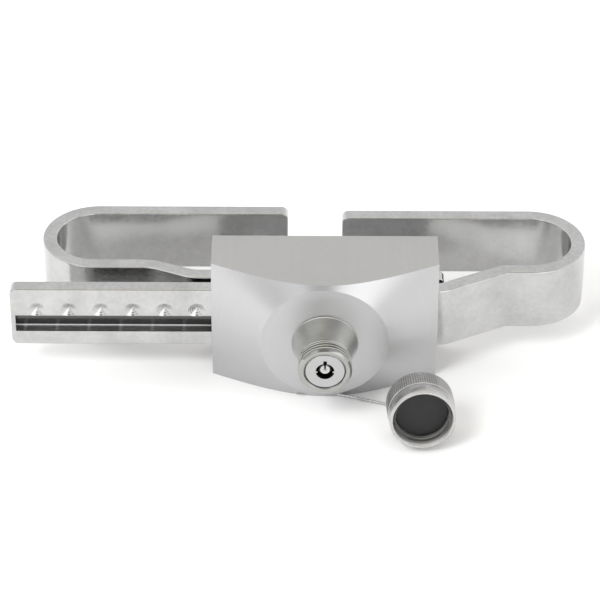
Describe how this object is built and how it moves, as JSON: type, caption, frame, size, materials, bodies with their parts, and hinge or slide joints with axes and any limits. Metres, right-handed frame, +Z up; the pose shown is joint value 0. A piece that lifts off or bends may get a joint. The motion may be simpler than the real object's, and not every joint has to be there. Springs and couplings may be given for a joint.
{
  "type": "trailer coupler lock",
  "caption": "Universal clamp-type trailer coupler lock: machined block, two hooked flat-bar arms, one a sliding ratchet bar, tubular key lock in a flared nose, tethered dust cap.",
  "frame": {"origin": "centre of the block's bottom face, under the lock's axis", "axes": "+X along the bars, from the ratchet bar's free end to the sliding hook; +Y to the back, which faces the coupler; +Z up"},
  "size_m": [0.3268, 0.1594, 0.0762],
  "materials": {
    "cast_aluminium_block": "satin, turned and milled",
    "plated_steel": "bright zinc plating over flat bar",
    "stainless": "turned and polished",
    "knurled_stainless": "turned, with a straight knurl",
    "chrome_face": "bright chrome",
    "brass_pin": "plain turned",
    "spring_steel": "plain",
    "hardened_steel": "ground",
    "black_rubber": "matte",
    "cable_steel": "bright stranded"
  },
  "bodies": {
    "root": {"housing_body": "cast_aluminium_block", "left_arm": "plated_steel", "arm_screws": "hardened_steel", "lock_nose": "stainless", "nose_set_screw": "hardened_steel", "cylinder_shell": "chrome_face", "cylinder_pin": "hardened_steel", "driver_sleeve": "brass_pin", "sleeve_pin": "hardened_steel", "driver_pins": "brass_pin", "pin_springs": "spring_steel", "bolt_spring": "spring_steel", "bolt_guide": "stainless", "stop_pin": "hardened_steel", "tether_anchor_screw": "stainless", "tether_anchor_eyelet": "stainless", "tether_cable": "cable_steel", "cap_eyelet": "stainless", "cap_rivet": "stainless"},
    "sliding_arm": {"right_arm": "plated_steel"},
    "plug": {"lock_plug": "chrome_face", "key_pins": "brass_pin", "plug_clip": "spring_steel", "drive_cam": "hardened_steel", "cam_screw": "hardened_steel"},
    "bolt": {"locking_bolt": "hardened_steel"},
    "cap": {"cap_shell": "knurled_stainless", "cap_seal": "black_rubber"}
  },
  "joints": [
    {"name": "arm_slide", "type": "slide", "parent": "root", "child": "sliding_arm", "axis": [1, 0, 0], "range_m": [0, 0.162]},
    {"name": "plug_turn", "type": "hinge", "parent": "root", "child": "plug", "pos_m": [0, -0.045, 0.0381], "axis": [0, 1, 0], "range_deg": [0, 90]},
    {"name": "bolt_slide", "type": "slide", "parent": "root", "child": "bolt", "axis": [0, 1, 0], "range_m": [0, 0.0038], "deforming": ["bolt_spring"]},
    {"name": "cap_swivel", "type": "hinge", "parent": "root", "child": "cap", "pos_m": [0.05235, -0.0518, 0.0186], "axis": [-0.0589, 0.9908, -0.1219], "continuous": true}
  ],
  "couplings": [
    {"joint": "plug_turn", "follows": "bolt_slide", "rad_per_m": 413.3}
  ]
}
